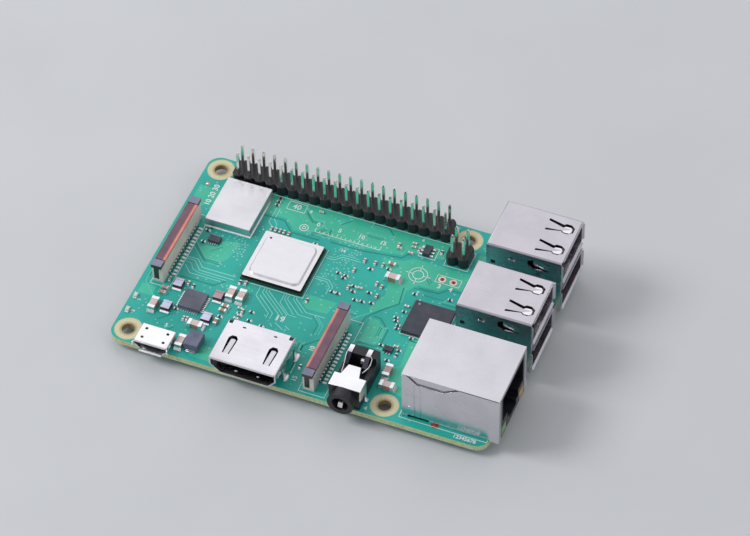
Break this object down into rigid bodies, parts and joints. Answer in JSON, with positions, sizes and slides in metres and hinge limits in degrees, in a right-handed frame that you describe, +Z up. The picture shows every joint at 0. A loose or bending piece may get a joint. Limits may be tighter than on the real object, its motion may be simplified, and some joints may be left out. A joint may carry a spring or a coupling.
{
  "type": "single board computer",
  "caption": "Credit-card-sized circuit board computer with pin header, network jack, USB, video, audio and power sockets, ribbon connectors and a memory card slot.",
  "frame": {"origin": "under the middle of the whole outline, on the surface that the soldered tails stand on", "axes": "+X along the board's length towards the network and USB sockets, +Y towards the pin header, +Z up"},
  "size_m": [0.087, 0.0582, 0.0184],
  "materials": {
    "solder_mask": "satin green lacquer over glass laminate",
    "black_moulding": "satin black moulded plastic",
    "chip_moulding": "matt dark moulded resin",
    "tinned_steel": "bright tin-plated sheet",
    "heat_spreader_metal": "bead-blasted nickel plate",
    "beige_moulding": "matt beige moulded plastic",
    "latch_plastic": "dark brown translucent plastic",
    "ceramic": "fired ceramic with tinned ends",
    "ferrite": "coated ferrite with tinned ends",
    "green_lens": "clear tinted plastic",
    "amber_lens": "clear tinted plastic",
    "clear_lens": "clear resin on a white base"
  },
  "bodies": {
    "root": {"circuit_board": "solder_mask", "processor_substrate": "solder_mask", "processor_heat_spreader": "heat_spreader_metal", "network_light_left": "green_lens", "network_light_right": "amber_lens", "power_light": "clear_lens", "activity_light": "clear_lens", "capacitor_a": "ceramic", "capacitor_b": "ceramic", "capacitor_c": "ceramic", "capacitor_d": "ceramic", "capacitor_e": "ceramic", "capacitor_f": "ceramic", "capacitor_g": "ceramic", "input_capacitor": "ceramic", "coil_a": "ferrite", "coil_b": "ferrite", "coil_c": "ferrite", "coil_d": "ferrite", "wireless_shield": "tinned_steel", "wireless_crystal": "tinned_steel", "power_socket_shell": "tinned_steel", "video_port_shell": "tinned_steel", "network_jack_shell": "tinned_steel", "rear_usb_shell": "tinned_steel", "front_usb_shell": "tinned_steel", "card_socket_shell": "tinned_steel", "audio_jack_front_contact": "tinned_steel", "audio_jack_left_contact": "tinned_steel", "audio_jack_right_contact": "tinned_steel", "wireless_chip": "chip_moulding", "network_hub_chip": "chip_moulding", "power_chip": "chip_moulding", "clock_crystal": "chip_moulding", "switch_chip": "chip_moulding", "filter_chip": "chip_moulding", "memory_chip": "chip_moulding", "surge_absorber": "chip_moulding", "pin_header": "black_moulding", "small_pin_header": "black_moulding", "power_socket_tongue": "black_moulding", "video_port_insert": "black_moulding", "audio_jack_housing": "black_moulding", "network_jack_insert": "black_moulding", "rear_usb_insert": "black_moulding", "front_usb_insert": "black_moulding", "card_socket_tray": "black_moulding", "display_ribbon_housing": "beige_moulding", "camera_ribbon_housing": "beige_moulding"},
    "display_latch": {"display_ribbon_latch": "latch_plastic"},
    "camera_latch": {"camera_ribbon_latch": "latch_plastic"}
  },
  "joints": [
    {"name": "display_latch_slide", "type": "slide", "parent": "root", "child": "display_latch", "axis": [0, 0, 1], "range_m": [0, 0.0015]},
    {"name": "camera_latch_slide", "type": "slide", "parent": "root", "child": "camera_latch", "axis": [0, 0, 1], "range_m": [0, 0.0015]}
  ]
}
